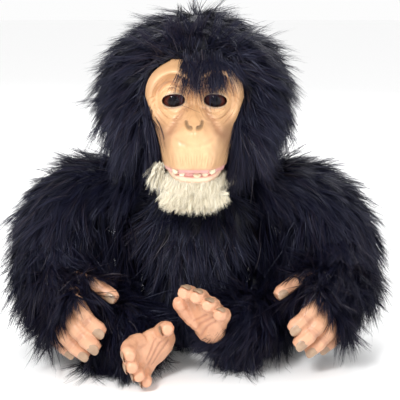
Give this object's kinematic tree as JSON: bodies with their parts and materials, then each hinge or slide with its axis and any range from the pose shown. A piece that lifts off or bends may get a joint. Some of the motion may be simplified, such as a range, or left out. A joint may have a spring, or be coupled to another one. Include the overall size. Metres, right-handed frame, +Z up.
{
  "type": "animatronic plush chimpanzee",
  "caption": "Seated plush baby chimpanzee with a soft vinyl face, hands and feet, a head that turns and nods, blinking lids, an opening jaw and jointed limbs.",
  "frame": {"origin": "on the flat base of the seated torso at floor level, in the plane of symmetry", "axes": "+Z up, the animal faces -Y, and its left side is +X"},
  "size_m": [0.3618, 0.2363, 0.324],
  "materials": {
    "black_plush": "matte",
    "chin_plush": "matte",
    "vinyl_skin": "satin",
    "gum_vinyl": "gloss",
    "eye_plastic": "polished",
    "black_moulding": "satin",
    "white_moulding": "satin",
    "steel": "satin",
    "brass": "satin",
    "circuit_laminate": "satin",
    "cell_jacket": "satin"
  },
  "bodies": {
    "torso": {"torso_plush": "black_plush", "torso_case_front": "black_moulding", "torso_case_back": "black_moulding", "case_screw_upper_right": "steel", "case_screw_upper_left": "steel", "case_screw_lower_right": "steel", "case_screw_lower_left": "steel", "battery_tray": "black_moulding", "battery_cell_1": "cell_jacket", "battery_cell_2": "cell_jacket", "battery_cell_3": "cell_jacket", "battery_cell_4": "cell_jacket", "battery_contacts_upper": "steel", "battery_contacts_lower": "steel", "circuit_board": "circuit_laminate", "speaker": "steel", "neck_post": "black_moulding", "neck_clip": "black_moulding", "shoulder_washer_right": "black_moulding", "shoulder_washer_left": "black_moulding", "hip_washer_right": "black_moulding", "hip_washer_left": "black_moulding"},
    "neck": {"neck_collar": "black_moulding"},
    "head": {"skull_front": "white_moulding", "skull_back": "white_moulding", "face_skin": "vinyl_skin", "head_fur": "black_plush", "eyeball_right": "eye_plastic", "eyeball_left": "eye_plastic", "eye_frame": "white_moulding", "drive_frame": "white_moulding", "drive_motor": "steel", "upper_gum_and_teeth": "gum_vinyl"},
    "eyelids": {"eyelid_right": "vinyl_skin", "eyelid_left": "vinyl_skin", "eyelid_shaft": "white_moulding"},
    "jaw": {"jaw_frame": "black_moulding", "lower_gum_and_teeth": "gum_vinyl", "tongue": "gum_vinyl", "lower_lip": "vinyl_skin", "chin_fur": "chin_plush"},
    "worm": {"drive_worm": "brass"},
    "cams": {"cam_shaft": "white_moulding"},
    "arm_right": {"shoulder_disc_right": "black_moulding", "arm_plush_right": "black_plush", "hand_right": "vinyl_skin"},
    "arm_left": {"shoulder_disc_left": "black_moulding", "arm_plush_left": "black_plush", "hand_left": "vinyl_skin"},
    "leg_right": {"hip_disc_right": "black_moulding", "leg_plush_right": "black_plush", "foot_right": "vinyl_skin"},
    "leg_left": {"hip_disc_left": "black_moulding", "leg_plush_left": "black_plush", "foot_left": "vinyl_skin"},
    "door": {"battery_door": "black_moulding", "battery_door_screw": "steel"},
    "switch": {"power_switch": "white_moulding"},
    "flap": {"back_flap": "black_plush"}
  },
  "joints": [
    {"name": "neck_turn", "type": "hinge", "parent": "torso", "child": "neck", "pos_m": [0, 0.014, 0.186], "axis": [0, 0, 1], "range_deg": [-30, 30]},
    {"name": "head_nod", "type": "hinge", "parent": "neck", "child": "head", "pos_m": [0, 0.014, 0.186], "axis": [1, 0, 0], "range_deg": [-8, 8]},
    {"name": "eyelid_blink", "type": "hinge", "parent": "head", "child": "eyelids", "pos_m": [0, -0.0513, 0.2467], "axis": [1, 0, 0], "range_deg": [0, 58]},
    {"name": "jaw_open", "type": "hinge", "parent": "head", "child": "jaw", "pos_m": [0, -0.02, 0.204], "axis": [1, 0, 0], "range_deg": [-2, 8]},
    {"name": "worm_spin", "type": "hinge", "parent": "head", "child": "worm", "pos_m": [0.012, -0.008, 0.2564], "axis": [0, 1, 0], "continuous": true},
    {"name": "cam_turn", "type": "hinge", "parent": "head", "child": "cams", "pos_m": [0, -0.008, 0.24], "axis": [1, 0, 0], "continuous": true},
    {"name": "shoulder_right", "type": "hinge", "parent": "torso", "child": "arm_right", "pos_m": [-0.0735, 0.014, 0.148], "axis": [-1, 0, 0], "range_deg": [0, 60]},
    {"name": "shoulder_left", "type": "hinge", "parent": "torso", "child": "arm_left", "pos_m": [0.0735, 0.014, 0.148], "axis": [-1, 0, 0], "range_deg": [0, 60]},
    {"name": "hip_right", "type": "hinge", "parent": "torso", "child": "leg_right", "pos_m": [-0.0565, 0.008, 0.038], "axis": [-1, 0, 0], "range_deg": [0, 5]},
    {"name": "hip_left", "type": "hinge", "parent": "torso", "child": "leg_left", "pos_m": [0.0565, 0.008, 0.038], "axis": [-1, 0, 0], "range_deg": [0, 5]},
    {"name": "door_lift", "type": "slide", "parent": "torso", "child": "door", "axis": [0, 1, 0], "range_m": [0, 0.006]},
    {"name": "switch_slide", "type": "slide", "parent": "torso", "child": "switch", "axis": [1, 0, 0], "range_m": [0, 0.004]},
    {"name": "flap_open", "type": "hinge", "parent": "torso", "child": "flap", "pos_m": [0, 0.0775, 0.1135], "axis": [1, 0, 0], "range_deg": [0, 90]}
  ],
  "couplings": [
    {"joint": "worm_spin", "follows": "cam_turn", "ratio": 16}
  ]
}
